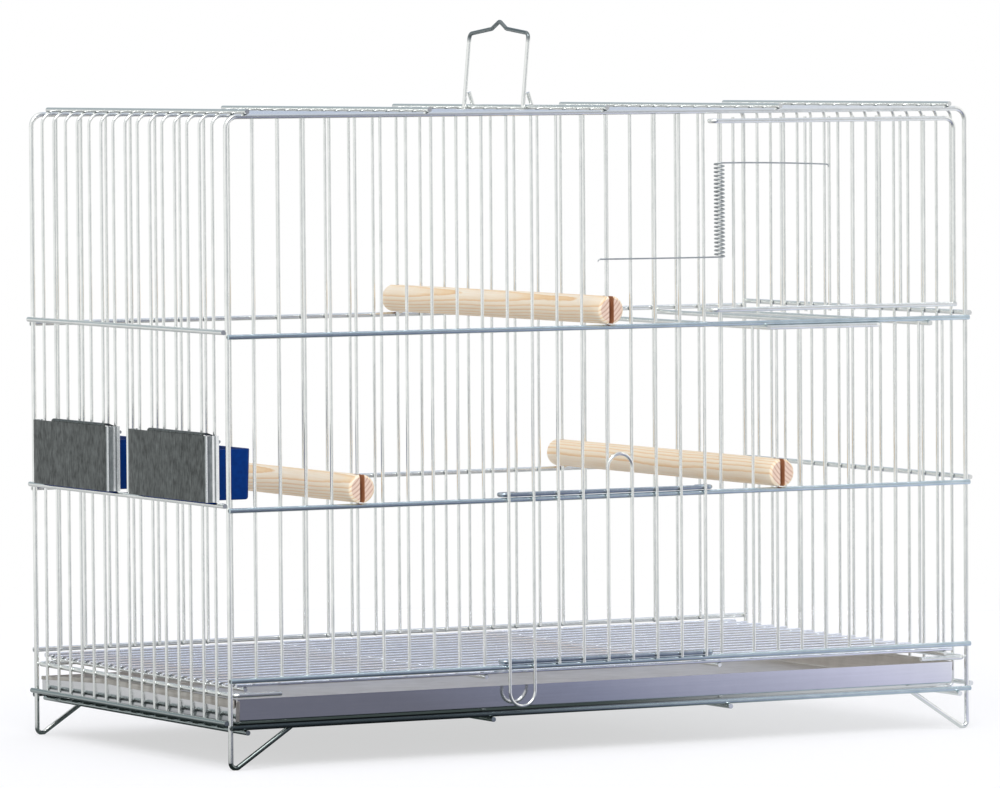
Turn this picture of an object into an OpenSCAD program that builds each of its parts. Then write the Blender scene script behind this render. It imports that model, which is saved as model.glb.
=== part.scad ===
// Canary breeding cage of welded, zinc-plated wire.
// X runs along the front from left to right, Y from the front to the back, Z up.
// The front is at -Y. The origin is under the middle of the whole outline, on the ground.

/* [Wire] */
// Pitch of the bars on every wall
bar_pitch = 16; // [13:1:20]
// Diameter of the thin bars
bar_d = 1.9; // [1.5:0.1:2.3]
// Diameter of the frame wires, rails and cross wires
frame_d = 2.8; // [2.4:0.1:3.2]
// Depth that two welded wires sink into each other
weld = 0.1; // [0.05:0.05:0.15]
// Clearance between pieces that move past each other
run_gap = 0.3; // [0.2:0.05:0.5]

/* [Cage] */
// Width between the axes of the corner posts
cage_w = 480; // [448:16:560]
// Depth between the axes of the corner posts
cage_d = 256; // [240:16:320]
// Height of the axis of the roof's frame wires
cage_h = 362.5; // [350:1:420]
// Bend radius of the frame wires at the roof's corners
corner_r = 7; // [5:1:20]
// Bend radius of the thin hoops at the roof
shoulder_r = 6; // [4:1:16]
// Bend radius of the thin hoops at the floor
floor_bend_r = 4; // [3:0.5:5]
// How far the rails' ends pass the axes of the corner posts
rail_overhang = 0.8; // [0.7:0.1:1.4]
// How far the roof's cross wires pass the corner posts' axes
roof_overhang = 3; // [2:0.5:6]
// Inset of the roof's outer cross wires from the corner posts
cross_inset = 12; // [10:1:18]
// The same for the floor's outer cross wires
floor_cross_inset = 8; // [7:1:14]

/* [Levels] */
// Height of the floor bars' axes
floor_z = 23.15; // [22:0.5:30]
// Height of the rail over the tray and grate slot
slot_rail_z = 49.7; // [49.5:0.5:56]
// Height of the lower rails at front and back
lower_rail_z = 144.4; // [140:1:150]
// Height of the upper rails at front and back
upper_rail_z = 240.6; // [238:1:246]
// How far the bottom rails' axes lie above the floor bars' axes
bottom_rail_rise = 0.45; // [0.35:0.05:0.6]

/* [Feet] */
// Bend radius of the wire at the foot
foot_bend_r = 3; // [2.5:0.5:5]
// Angle of the foot's diagonal above the ground
foot_angle = 33; // [28:1:40]
// Depth of the flat worn under each foot
foot_flat = 0.3; // [0.2:0.1:0.5]
// How far the diagonal's end stays below the floor bars' axes
foot_end_drop = 0.3; // [0.3:0.1:0.6]

/* [Sliding door] */
// First bar of the doorway, a guide bar, counted from the left post
slide_first = 11; // [9:1:12]
// Bars from one guide bar to the other
slide_gaps = 8; // [6:2:8]
// Diameter of the door rails and eyes
door_d = 2.6; // [2.2:0.1:2.8]
// How far the door's bars sit left of the bars behind them
slide_shift = 2.5; // [1:0.5:4]
// How far the doors' bars pass their rails
door_bar_stub = 0.8; // [0.4:0.1:2]
// How far a left eye's outside passes the axis of the bar that it rides on
eye_reach = 7; // [6.5:0.5:8]
// The same for the sliding door's tighter eyes on the right
tight_eye_reach = 4.2; // [4.1:0.1:6]
// Length of the wire that an eye returns behind its bar
eye_tail = 5; // [4:0.5:7]
// Height of the finger pull's axis over the door's top rail
pull_rise = 21; // [18:1:26]
// Height of the lock loop's lowest axis point over the floor bars' axes
lock_rise = 4.4; // [4:0.5:8]

/* [Nest door] */
// How far the hinge bar stands left of its place in the row of bars
hinge_shift = 5.5; // [2:0.5:6]
// Bar in the row that serves as the hinge bar
hinge_bar_no = 20; // [20:1:21]
// Clearance between the door's free side and the post's axis
nest_side_gap = 9.5; // [8:0.5:14]
// Gap from the upper rail's axis to the door's sill
nest_sill_gap = 8; // [7:0.5:12]
// Gap from the door's top wire to the roof wire's axis
nest_top_gap = 5.7; // [5:0.1:10]
// Bend radius at the door's upper free corner
nest_corner_r = 6; // [4:1:12]
// First door bar's distance from the hinge bar
nest_first_bar = 9; // [6.5:0.5:10]

/* [Door spring] */
// Diameter of the spring wire
spring_wire = 0.9; // [0.7:0.1:1.1]
// Mean radius of the coil
spring_r = 2.8; // [2.5:0.1:3.2]
// Number of turns
spring_turns = 24; // [18:1:28]
// Pitch of the turns
spring_pitch = 2.25; // [1.9:0.05:2.4]
// Height of the lower arm over the upper rail's axis
spring_rise = 36; // [30:1:44]
// Length of the arm that presses on the door
spring_door_arm = 71.5; // [50:0.5:100]
// Length of the arm that leans on the front's bars
spring_cage_arm = 81.5; // [60:0.5:90]

/* [Nest rest] */
// Place of the first rest wire, in bars from the left post
nest_rest_1 = 21.5; // [21.3:0.1:21.7]
// Place of the second rest wire, which turns along the front to the first
nest_rest_2 = 26.3; // [26.3:0.1:26.7]
// Place of the third rest wire
nest_rest_3 = 28.3; // [28.3:0.1:28.7]
// How far the rest wires' ends pass the corner posts' axes
nest_rest_overhang = 5.5; // [4.5:0.5:6]
// How far the run along the front lies before the rail over it
nest_rest_step = 1; // [0.9:0.1:1.2]

/* [Handle] */
// Diameter of the handle's wire
handle_d = 2.4; // [2:0.1:2.8]
// Distance between the axes of the handle's legs
handle_w = 72.2; // [72:0.5:74]
// Height of the handle's shoulders over its pivot
handle_h = 42.5; // [36:0.5:60]
// Extra height of the bar's knees over the shoulders
handle_knee_rise = 2.8; // [1:0.2:5]
// Extra height of the peak over the knees
handle_peak_rise = 4.5; // [3:0.5:10]
// Bend radius of the handle's corners
handle_bend_r = 3.2; // [2.6:0.2:4]
// Distance of the knees from the handle's middle
handle_knee = 9; // [7:1:14]
// Lean of the handle towards the right
handle_lean = 5.4; // [0:0.2:8]
// Clearance between a hook and the roof wire that it turns on
hook_clear = 0.4; // [0.3:0.1:0.6]
// Gap between a hook's end and its leg
hook_gap = 0.15; // [0.1:0.05:0.3]
// Height at which a hook's end meets its leg again
hook_rise = 8.5; // [7:0.5:12]

/* [Tray] */
// Mean clearance from the tray's sides to the axes of the corner posts
tray_side_gap = 5.5; // [2.5:0.5:12]
// How far the tray sits left of the middle
tray_shift = 3; // [0:0.5:3]
// Clearance from the tray's front and back to the bottom rails
tray_end_gap = 0.8; // [0.3:0.1:4]
// Height of the tray's front wall
tray_h = 14; // [10:0.5:15]
// How much lower the back wall is
tray_back_drop = 5; // [0:0.5:6]
// Length over which the side walls fall to the back wall
tray_fall = 90; // [40:5:160]
// Thickness of the sheet
tray_sheet = 0.8; // [0.6:0.1:1.2]
// Height of the hems on the side walls
tray_hem_h = 3.2; // [2:0.2:5]

/* [Floor grate] */
// Diameter of the grate's long wires
grate_wire_d = 1.9; // [1.5:0.1:2.2]
// Diameter of the grate's edge and cross wires
grate_edge_d = 2.4; // [2:0.1:2.6]
// Clearance from the edge wires' top to the slot rail
grate_top_gap = 0.35; // [0.3:0.05:0.8]
// Mean clearance between the grate's ends and the side bars
grate_side_gap = 6.3; // [3.5:0.1:9]
// How far the grate sits left of the middle
grate_shift = 2.2; // [0:0.1:2.5]
// Distance of the edge wires from the corner posts' axes
grate_inset = 2; // [1.6:0.2:5]
// Inset of the outer cross wires from the corner posts' axes
grate_cross_inset = 12; // [8:1:24]
// Bend radius of the corners of guide and nest rest wires
guide_bend_r = 4; // [3:0.5:8]
// Length of the guide wires' stubs from the corner posts' axes
guide_stub = 31.5; // [26:0.5:40]

/* [Perches] */
// Bar in front of which the upper perch hangs, counted from the left post
upper_perch_no = 15; // [14:1:16]
// The same for the left perch
left_perch_no = 5; // [4:1:6]
// The same for the right perch
right_perch_no = 22; // [21:1:23]
// Diameter of the perches
perch_d = 16; // [12:1:18]
// How far the perches' ends pass the bars that they hold
perch_overhang = 6; // [5:0.5:8]
// Width of the slot in each end
perch_slot = 3; // [2.6:0.1:4]
// Depth of the slot past the bar's axis
perch_slot_past = 2.6; // [2:0.1:5]
// Chamfer round each end
perch_chamfer = 1.2; // [0.6:0.2:2.4]

/* [Feeders] */
// Width of a feeder's front plate
plate_w = 101.5; // [100:0.5:106]
// Height of the front plate
plate_h = 37; // [34:1:44]
// Thickness of the plate
plate_t = 0.8; // [0.6:0.1:1.2]
// How far the plates hang off centre, towards the front
plate_shift = 4.5; // [0:0.5:5]
// How far the plate's face stands out from the side bars' axes
plate_stand = 9.1; // [8:0.5:12]
// Bend radius outside the plate's folds
plate_bend = 1.6; // [1.4:0.2:2.4]
// Width of the tab folded back at the plate's top
tab_w = 71; // [40:1:80]
// How far the tab sits off the plate's middle, towards the front
tab_shift = 9.5; // [0:0.5:10]
// Clearance between the tub and the rail that carries it
tub_lift = 0.5; // [0.3:0.1:2]
// Width of the tub
tub_w = 90; // [84:1:91]
// Height of the tub
tub_h = 28.5; // [24:0.5:31]
// How far the tub reaches in past the side bars' axes
tub_reach = 24; // [18:0.5:30]
// Thickness of the tub's walls
tub_wall = 1.8; // [1.2:0.1:2.4]
// Corner radius of the tub
tub_corner = 3; // [2.5:0.5:5]
// Height of the window's header over the window's sill rail
header_rise = 35; // [33:1:38]
// Bars that a feeder window spans
window_gaps = 6; // [6:1:6]

/* [Hidden] */
$fn = 48;

zinc = "#c3cad3";
bright_zinc = "#d4dae2";
galvanised = "#70767b";
tray_grey = "#9493a3";
pine = "#dcbf95";
tub_blue = "#0a3f9c";
spring_steel = "#a9b0b8";

bar_r = bar_d / 2;
frame_r = frame_d / 2;
door_r = door_d / 2;
half_w = cage_w / 2;
half_d = cage_d / 2;

// Bars: places along the front and along the sides
front_gaps = round(cage_w / bar_pitch);
side_gaps = round(cage_d / bar_pitch);
front_step = cage_w / front_gaps;
side_step = cage_d / side_gaps;
function front_x(i) = -half_w + i * front_step;
function side_y(j) = -half_d + j * side_step;

// Layers, counted outwards from the frame wires
panel_out = frame_r - bar_r;                      // bars flush with the frame's outside
rail_out = frame_d - weld;                        // rails outside the bars
door_bar_out = rail_out + frame_r + run_gap + bar_r;
door_rail_out = door_bar_out - bar_r - door_r + weld;

// Heights
roof_bar_z = cage_h + frame_r - bar_r;
roof_cross_z = cage_h + frame_d - weld;
floor_cross_z = floor_z - bar_r - frame_r + weld;
bottom_rail_z = floor_z + bottom_rail_rise;
side_rail_rise = frame_d - 2 * weld;
front_rail_zs = [bottom_rail_z, slot_rail_z, lower_rail_z, upper_rail_z];
side_rail_zs = [for (z = [bottom_rail_z, lower_rail_z, upper_rail_z]) z + side_rail_rise];
bar_foot_z = slot_rail_z - bar_r / 2;
// Top of a bar: under the roof's frame wire, or under its bend at the corners
function bar_head_z(x) = let (past = max(0, abs(x) - half_w + corner_r))
    cage_h - corner_r + sqrt(corner_r * corner_r - past * past) - frame_r + weld;

// Bends at odd angles: the straight runs enter them, and their wire is drawn thinner
bend_sink = 0.1;
bend_thin = 0.02;

// Feet
foot_centre_z = frame_r + foot_bend_r - foot_flat;
foot_end_z = floor_z - foot_end_drop;
foot_rise = foot_end_z - (foot_centre_z - foot_bend_r * cos(foot_angle));
foot_len = foot_rise / sin(foot_angle);

// Sliding door
slide_last = slide_first + slide_gaps;
door_rest = frame_r + door_r + run_gap;
slide_top_z = lower_rail_z + door_rest;
slide_bottom_z = slot_rail_z + door_rest;
door_bar_end = door_r + door_bar_stub;
pull_bar = slide_first + slide_gaps / 2;
eye_r = door_rail_out - panel_out;
eye_centre = eye_reach - eye_r - door_r;
tight_eye_centre = tight_eye_reach - eye_r - door_r;

// Nest door
hinge_x = front_x(hinge_bar_no) - hinge_shift;
nest_free_x = half_w - nest_side_gap;
nest_sill_z = upper_rail_z + nest_sill_gap;
nest_top_z = cage_h - nest_top_gap;
nest_bar_out = door_rail_out - door_r - bar_r + weld;
nest_bar_count = floor((nest_free_x - hinge_x - nest_first_bar - bar_pitch / 2) / bar_pitch) + 1;

// Spring
spring_z = upper_rail_z + spring_rise;

// Nest rest
nest_rest_z = upper_rail_z - frame_d + weld;

// Handle
hook_r = frame_r + hook_clear + handle_d / 2;

// Tray and grate
tray_w = cage_w - 2 * tray_side_gap;
tray_d = cage_d + 2 * (rail_out - frame_r - tray_end_gap);
tray_z = bottom_rail_z + frame_r + run_gap;       // clear of the rails that it slides over
grate_edge_z = slot_rail_z - frame_r - grate_top_gap - grate_edge_d / 2;
grate_cross_z = grate_edge_z - grate_edge_d + weld;
grate_wire_z = grate_cross_z + grate_edge_d / 2 + grate_wire_d / 2 - weld;
grate_half_w = half_w + panel_out - bar_r - grate_side_gap;
grate_edge_y = half_d - grate_inset;
guide_z = grate_cross_z - grate_edge_d / 2 - run_gap - frame_r;
guide_x = half_w + panel_out - bar_r - frame_r + weld;

// Perches
perch_half = half_d + panel_out + perch_overhang;
perch_lift = frame_r + run_gap + perch_d / 2;

// Feeders
window_half = window_gaps * side_step / 2;
sill_z = side_rail_zs[1];
header_z = sill_z + header_rise;
feeder_ys = [side_y(1) + window_half, side_y(side_gaps - 1) - window_half];
header_x = half_w + panel_out - bar_d + weld;
plate_z = sill_z + frame_r + run_gap;
tub_z = sill_z + frame_r + tub_lift;
plate_face_x = half_w + panel_out + plate_stand;

// The outline's middle: the feeders reach further left than the side rails reach right
origin_shift = (plate_face_x - half_w - rail_out - frame_r) / 2;

module in_frame() {
    translate([origin_shift, 0, 0]) children();
}

// A straight round wire of radius r along one axis, from its lower to its upper end
module wire_x(x0, x1, y, z, r) {
    translate([x0, y, z]) rotate([0, 90, 0]) cylinder(h = x1 - x0, r = r);
}

module wire_y(x, y0, y1, z, r) {
    translate([x, y0, z]) rotate([-90, 0, 0]) cylinder(h = y1 - y0, r = r);
}

module wire_z(x, y, z0, z1, r) {
    translate([x, y, z0]) cylinder(h = z1 - z0, r = r);
}

// A bend of a wire in the XZ plane about its centre, from one angle to another
module bend_xz(bend_r, wire_r, from_angle, sweep) {
    rotate([90, 0, 0]) rotate([0, 0, from_angle])
        rotate_extrude(angle = sweep, $fn = 96) translate([bend_r, 0]) circle(r = wire_r);
}

// The same in the XY plane
module bend_xy(bend_r, wire_r, from_angle, sweep) {
    rotate([0, 0, from_angle])
        rotate_extrude(angle = sweep, $fn = 96) translate([bend_r, 0]) circle(r = wire_r);
}

module both_x() {
    children();
    mirror([1, 0, 0]) children();
}

// ---- Corner posts, feet and roof frame ----

module post(side_x, side_y) {
    color(bright_zinc) in_frame()
        wire_z(side_x * half_w, side_y * half_d, foot_centre_z, cage_h - corner_r, frame_r);
}

module foot(side_x, side_y) {
    color(bright_zinc) in_frame() translate([side_x * half_w, side_y * half_d, 0])
        mirror([side_x > 0 ? 1 : 0, 0, 0]) difference() {
            union() {
                translate([foot_bend_r, 0, foot_centre_z])
                    bend_xz(foot_bend_r, frame_r - bend_thin, 180, 90 + foot_angle);
                translate([foot_bend_r, 0, foot_centre_z]) rotate([0, -foot_angle, 0])
                    wire_x(-bend_sink, foot_len, 0, -foot_bend_r, frame_r);
            }
            translate([-frame_d, -frame_d, -frame_d]) cube([cage_w / 4, 2 * frame_d, frame_d]);
        }
}

module top_wire(side_y) {
    color(bright_zinc) in_frame()
        wire_x(-half_w + corner_r, half_w - corner_r, side_y * half_d, cage_h, frame_r);
}

module top_corner_bends() {
    color(bright_zinc) in_frame() both_x() for (side = [-1, 1])
        translate([half_w - corner_r, side * half_d, cage_h - corner_r]) bend_xz(corner_r, frame_r, 0, 90);
}

// ---- Hoops: thin bars round the left side, roof, right side and floor ----

side_bar_x = half_w + panel_out;
side_bar_z0 = floor_z + floor_bend_r;
side_bar_z1 = roof_bar_z - shoulder_r;

// True where a feeder window cuts the hoop on the left side
function in_window(j) = max([for (y = feeder_ys) abs(side_y(j) - y) < window_half - 1 ? 1 : 0]) > 0;

module left_side_bars() {
    color(zinc) in_frame() for (j = [1 : side_gaps - 1]) {
        if (in_window(j)) {
            wire_z(-side_bar_x, side_y(j), side_bar_z0, sill_z + bar_r, bar_r);
            wire_z(-side_bar_x, side_y(j), header_z - bar_r, side_bar_z1, bar_r);
        } else {
            wire_z(-side_bar_x, side_y(j), side_bar_z0, side_bar_z1, bar_r);
        }
    }
}

module right_side_bars() {
    color(zinc) in_frame() for (j = [1 : side_gaps - 1])
        wire_z(side_bar_x, side_y(j), side_bar_z0, side_bar_z1, bar_r);
}

module roof_bars() {
    color(zinc) in_frame() for (j = [1 : side_gaps - 1])
        wire_x(-side_bar_x + shoulder_r, side_bar_x - shoulder_r, side_y(j), roof_bar_z, bar_r);
}

module floor_bars() {
    color(zinc) in_frame() for (j = [1 : side_gaps - 1])
        wire_x(-side_bar_x + floor_bend_r, side_bar_x - floor_bend_r, side_y(j), floor_z, bar_r);
}

module hoop_shoulders() {
    color(zinc) in_frame() both_x() for (j = [1 : side_gaps - 1])
        translate([side_bar_x - shoulder_r, side_y(j), roof_bar_z - shoulder_r])
            bend_xz(shoulder_r, bar_r, 0, 90);
}

module hoop_floor_bends() {
    color(zinc) in_frame() both_x() for (j = [1 : side_gaps - 1])
        translate([side_bar_x - floor_bend_r, side_y(j), floor_z + floor_bend_r])
            bend_xz(floor_bend_r, bar_r, 270, 90);
}

// ---- Cross wires, rails and the bars of front and back ----

cross_out_x = half_w - cross_inset;

module roof_cross_wires() {
    reach = half_d + roof_overhang;
    color(bright_zinc) in_frame() for (k = [-2 : 2])
        wire_y(k / 2 * cross_out_x, -reach, reach, roof_cross_z, frame_r);
}

module floor_cross_wires() {
    reach = half_d + rail_out + roof_overhang;
    color(bright_zinc) in_frame() for (k = [-3 : 2 : 3])
        wire_y(k / 3 * (half_w - floor_cross_inset), -reach, reach, floor_cross_z, frame_r);
}

module side_rails(side_x) {
    reach = half_d + rail_overhang;
    color(bright_zinc) in_frame() for (z = side_rail_zs)
        wire_y(side_x * (half_w + rail_out), -reach, reach, z, frame_r);
}

module panel_rails(side_y) {
    reach = half_w + rail_overhang;
    color(bright_zinc) in_frame() for (z = front_rail_zs)
        wire_x(-reach, reach, side_y * (half_d + rail_out), z, frame_r);
}

module front_bar(i, z0, z1) {
    wire_z(front_x(i), -half_d - panel_out, z0, z1, bar_r);
}

module front_left_bars() {
    color(zinc) in_frame() for (i = [1 : slide_first - 1]) front_bar(i, bar_foot_z, bar_head_z(front_x(i)));
}

module front_middle_bars() {
    color(zinc) in_frame() for (i = [slide_first + 1 : slide_last - 1])
        front_bar(i, lower_rail_z - bar_r, bar_head_z(front_x(i)));
}

module front_right_bars() {
    color(zinc) in_frame() for (i = [hinge_bar_no + 1 : front_gaps - 1])
        front_bar(i, bar_foot_z, upper_rail_z + bar_r);
}

module door_guide_bars() {
    color(zinc) in_frame() for (i = [slide_first, slide_last])
        front_bar(i, bar_foot_z, bar_head_z(front_x(i)));
}

module hinge_bar() {
    color(zinc) in_frame() wire_z(hinge_x, -half_d - panel_out, bar_foot_z, bar_head_z(hinge_x), bar_r);
}

module rear_bars() {
    color(zinc) in_frame() for (i = [1 : front_gaps - 1])
        wire_z(front_x(i), half_d + panel_out, bar_foot_z, bar_head_z(front_x(i)), bar_r);
}

// ---- Fixed wires inside: grate guides, nest rest, feeder headers ----

module grate_guide(side_x) {
    run = half_d - guide_bend_r;
    color(bright_zinc) in_frame() mirror([side_x > 0 ? 1 : 0, 0, 0]) {
        wire_y(-guide_x, -run, run, guide_z, frame_r);
        for (end = [0, 1]) mirror([0, end, 0]) {
            translate([-guide_x + guide_bend_r, -run, guide_z]) bend_xy(guide_bend_r, frame_r, 180, 90);
            wire_x(-guide_x + guide_bend_r, -half_w + guide_stub, -half_d, guide_z, frame_r);
        }
    }
}

module nest_rest_wires() {
    reach = half_d + nest_rest_overhang;
    front_y = -half_d - rail_out - nest_rest_step;
    turn_x = front_x(nest_rest_2) - guide_bend_r;
    color(bright_zinc) in_frame() {
        for (i = [nest_rest_1, nest_rest_3]) wire_y(front_x(i), -reach, reach, nest_rest_z, frame_r);
        wire_y(front_x(nest_rest_2), front_y + guide_bend_r, reach, nest_rest_z, frame_r);
        translate([turn_x, front_y + guide_bend_r, nest_rest_z]) bend_xy(guide_bend_r, frame_r, 270, 90);
        wire_x(front_x(nest_rest_1), turn_x, front_y, nest_rest_z, frame_r);
    }
}

module feeder_headers() {
    color(zinc) in_frame() for (y = feeder_ys)
        wire_y(-header_x, y - window_half - bar_d, y + window_half + bar_d, header_z, bar_r);
}

// ---- Sliding door ----

slide_y = -half_d - door_rail_out;

// A U-turn round a bar at the origin, with a tail behind it; the door's wire enters at the front
module eye(centre) {
    translate([-centre, 0, 0]) bend_xy(eye_r, door_r, 90, 180);
    wire_x(-centre, eye_tail, eye_r, 0, door_r);
}

module sliding_door_rails() {
    color(bright_zinc) in_frame() for (z = [slide_bottom_z, slide_top_z])
        wire_x(front_x(slide_first) - eye_centre, front_x(slide_last) + tight_eye_centre, slide_y, z, door_r);
}

module sliding_door_eyes() {
    color(bright_zinc) in_frame() for (z = [slide_bottom_z, slide_top_z]) {
        translate([front_x(slide_first), -half_d - panel_out, z]) eye(eye_centre);
        translate([front_x(slide_last), -half_d - panel_out, z]) mirror([1, 0, 0]) eye(tight_eye_centre);
    }
}

function door_bar_x(i) = front_x(i) - slide_shift;
door_bar_y = -half_d - door_bar_out;
door_bar_z0 = slide_bottom_z - door_bar_end;
door_bar_z1 = slide_top_z + door_bar_end;

module sliding_door_bars() {
    singles = [for (i = [slide_first + 2 : slide_last]) if (i != pull_bar && i != pull_bar + 1) i];
    color(zinc) in_frame() for (i = singles)
        wire_z(door_bar_x(i), door_bar_y, door_bar_z0, door_bar_z1, bar_r);
}

// Two bars and the round turn that joins them; the turn is above the legs for up = 1
module hairpin(i, z_turn, z_end) {
    turn_r = front_step / 2;
    up = z_turn > z_end;
    for (k = [i, i + 1])
        wire_z(door_bar_x(k), door_bar_y, min(z_turn, z_end), max(z_turn, z_end), bar_r);
    translate([door_bar_x(i) + turn_r, door_bar_y, z_turn])
        bend_xz(turn_r, bar_r, up ? 0 : 180, 180);
}

module lift_hairpin() {
    color(bright_zinc) in_frame()
        hairpin(pull_bar, slide_top_z + pull_rise - front_step / 2, door_bar_z0);
}

module lock_hairpin() {
    color(bright_zinc) in_frame()
        hairpin(slide_first, floor_z + lock_rise + front_step / 2, door_bar_z1);
}

// ---- Nest door ----

module nest_door_frame() {
    side_z0 = nest_sill_z + door_r - weld;
    color(bright_zinc) in_frame() {
        wire_x(hinge_x - eye_centre, nest_free_x - nest_corner_r, slide_y, nest_top_z, door_r);
        translate([nest_free_x - nest_corner_r, slide_y, nest_top_z - nest_corner_r])
            bend_xz(nest_corner_r, door_r, 0, 90);
        wire_z(nest_free_x, slide_y, side_z0, nest_top_z - nest_corner_r, door_r);
    }
}

module nest_door_sill() {
    color(bright_zinc) in_frame()
        wire_x(hinge_x - eye_centre, nest_free_x + door_r, slide_y, nest_sill_z, door_r);
}

module nest_door_eyes() {
    color(bright_zinc) in_frame() for (z = [nest_sill_z, nest_top_z])
        translate([hinge_x, -half_d - panel_out, z]) eye(eye_centre);
}

module nest_door_bars() {
    color(zinc) in_frame() for (k = [0 : nest_bar_count - 1])
        wire_z(hinge_x + nest_first_bar + k * bar_pitch, -half_d - nest_bar_out,
               nest_sill_z - door_bar_end, nest_top_z + door_bar_end, bar_r);
}

// ---- Torsion spring: one tube swept along arm, coil and arm ----

curl_rings = 8;
tube_sides = 6;
coil_rings = spring_turns * curl_rings;
spring_points = concat(
    [[-spring_cage_arm, -spring_r, 0], [-spring_r, -spring_r, 0]],
    [for (k = [0 : coil_rings]) let (a = -90 + 360 * k / curl_rings)
        [spring_r * cos(a), spring_r * sin(a), spring_pitch * k / curl_rings]],
    [[spring_r, -spring_r, spring_pitch * spring_turns],
     [spring_door_arm, -spring_r, spring_pitch * spring_turns]]);

function unit(v) = v / norm(v);
function path_dir(p, k) = unit(p[min(k + 1, len(p) - 1)] - p[max(k - 1, 0)]);
// The ring at point k: the across direction stays level, so that the tube doesn't twist
function ring(p, k, r) = let (d = path_dir(p, k), across = unit(cross([0, 0, 1], d)), up = cross(d, across))
    [for (s = [0 : tube_sides - 1]) let (a = 360 * s / tube_sides)
        p[k] + r * (cos(a) * across + sin(a) * up)];

module tube(p, r) {
    n = len(p);
    points = [for (k = [0 : n - 1]) each ring(p, k, r)];
    walls = [for (k = [0 : n - 2], s = [0 : tube_sides - 1])
        let (a = k * tube_sides + s, b = k * tube_sides + (s + 1) % tube_sides)
        each [[a, a + tube_sides, b], [b, a + tube_sides, b + tube_sides]]];
    start = [for (s = [1 : tube_sides - 2]) [0, s, s + 1]];
    last = (n - 1) * tube_sides;
    end = [for (s = [1 : tube_sides - 2]) [last, last + s + 1, last + s]];
    polyhedron(points = points, faces = concat(walls, start, end));
}

// Least gap of the tube to itself: between points half a turn or more apart along the coil
spring_self_gap = min([for (k = [0 : coil_rings - curl_rings], m = [k + curl_rings / 2 : k + curl_rings + 2])
    if (m <= coil_rings) norm(spring_points[m + 2] - spring_points[k + 2])]) - spring_wire;
echo(spring_self_gap = spring_self_gap);

module door_spring() {
    color(spring_steel) in_frame() translate([hinge_x, -half_d - panel_out, spring_z])
        tube(spring_points, spring_wire / 2);
}

// ---- Carrying handle ----

function turn_angle(a, b) = atan2(a[0] * b[1] - a[1] * b[0], a * b);

// A round wire through points of the XY plane, with a tangent bend at each corner
module bent_wire(points, bend_r, wire_r) {
    last = len(points) - 1;
    dirs = [for (k = [0 : last - 1]) unit(points[k + 1] - points[k])];
    turns = [for (k = [0 : last]) k == 0 || k == last ? 0 : turn_angle(dirs[k - 1], dirs[k])];
    trims = [for (t = turns) bend_r * tan(abs(t) / 2)];
    for (k = [0 : last - 1]) {
        enter = k == 0 ? 0 : bend_sink;
        leave = k == last - 1 ? 0 : bend_sink;
        length = norm(points[k + 1] - points[k]) - trims[k] - trims[k + 1];
        translate(points[k] + dirs[k] * (trims[k] - enter)) rotate([0, 0, atan2(dirs[k][1], dirs[k][0])])
            rotate([0, 90, 0]) cylinder(h = length + enter + leave, r = wire_r);
    }
    for (k = [1 : last - 1]) {
        side = sign(turns[k]);
        heading = atan2(dirs[k - 1][1], dirs[k - 1][0]);
        across = side * [-dirs[k - 1][1], dirs[k - 1][0]];
        translate(points[k] - dirs[k - 1] * trims[k] + across * bend_r)
            bend_xy(bend_r, wire_r - bend_thin,
                    side > 0 ? heading - 90 : heading + 90 + turns[k], abs(turns[k]));
    }
}

// A hook round the origin: a half turn and more, then a straight limb that closes on the leg
module hook() {
    tip = [handle_d - hook_r + hook_gap, hook_rise];
    reach = norm(tip);
    close_angle = atan2(tip[1], tip[0]) - acos(hook_r / reach);
    bend_xz(hook_r, handle_d / 2, 180, 180 + close_angle);
    rotate([0, -close_angle, 0]) translate([hook_r, 0, 0])
        cylinder(h = sqrt(reach * reach - hook_r * hook_r), d = handle_d);
}

module carrying_handle() {
    half = handle_w / 2;
    knee_z = handle_h + handle_knee_rise;
    bar = [[-half, 0], [-half, handle_h], [-handle_knee, knee_z], [0, knee_z + handle_peak_rise],
           [handle_knee, knee_z], [half, handle_h], [half, 0]];
    color(bright_zinc) in_frame() translate([0, 0, roof_cross_z]) rotate([0, handle_lean, 0]) {
        translate([-hook_r, 0, 0]) rotate([90, 0, 90]) bent_wire(bar, handle_bend_r, handle_d / 2);
        for (y = [-half, half]) translate([0, y, 0]) hook();
    }
}

// ---- Droppings tray ----

// Side view of the tray: a lower edge, closed by the rim, which falls towards the back
function tray_side(low_edge) = concat(low_edge, [
    [tray_d, tray_h - tray_back_drop], [tray_d - tray_fall, tray_h], [0, tray_h]]);

module across_tray(x0, x1, profile) {
    translate([x0, 0, 0]) rotate([90, 0, 90]) linear_extrude(height = x1 - x0) polygon(profile);
}

module droppings_tray() {
    body = tray_side([[0, 0], [tray_d, 0]]);
    hem = tray_side([[0, tray_h - tray_hem_h], [tray_d - tray_fall, tray_h - tray_hem_h],
                     [tray_d, tray_h - tray_back_drop - tray_hem_h]]);
    color(tray_grey) in_frame() translate([-tray_w / 2 - tray_shift, -tray_d / 2, tray_z]) difference() {
        union() {
            across_tray(tray_sheet, tray_w - tray_sheet, body);
            across_tray(0, tray_w, hem);
        }
        translate([2 * tray_sheet, tray_sheet, tray_sheet])
            cube([tray_w - 4 * tray_sheet, tray_d - 2 * tray_sheet, tray_h]);
    }
}

// ---- Floor grate ----

module grate_long_wires() {
    color(zinc) in_frame() translate([-grate_shift, 0, 0]) {
        for (j = [1 : side_gaps - 1])
            wire_x(-grate_half_w, grate_half_w, side_y(j), grate_wire_z, grate_wire_d / 2);
        for (y = [-grate_edge_y, grate_edge_y])
            wire_x(-grate_half_w, grate_half_w, y, grate_edge_z, grate_edge_d / 2);
    }
}

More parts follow.
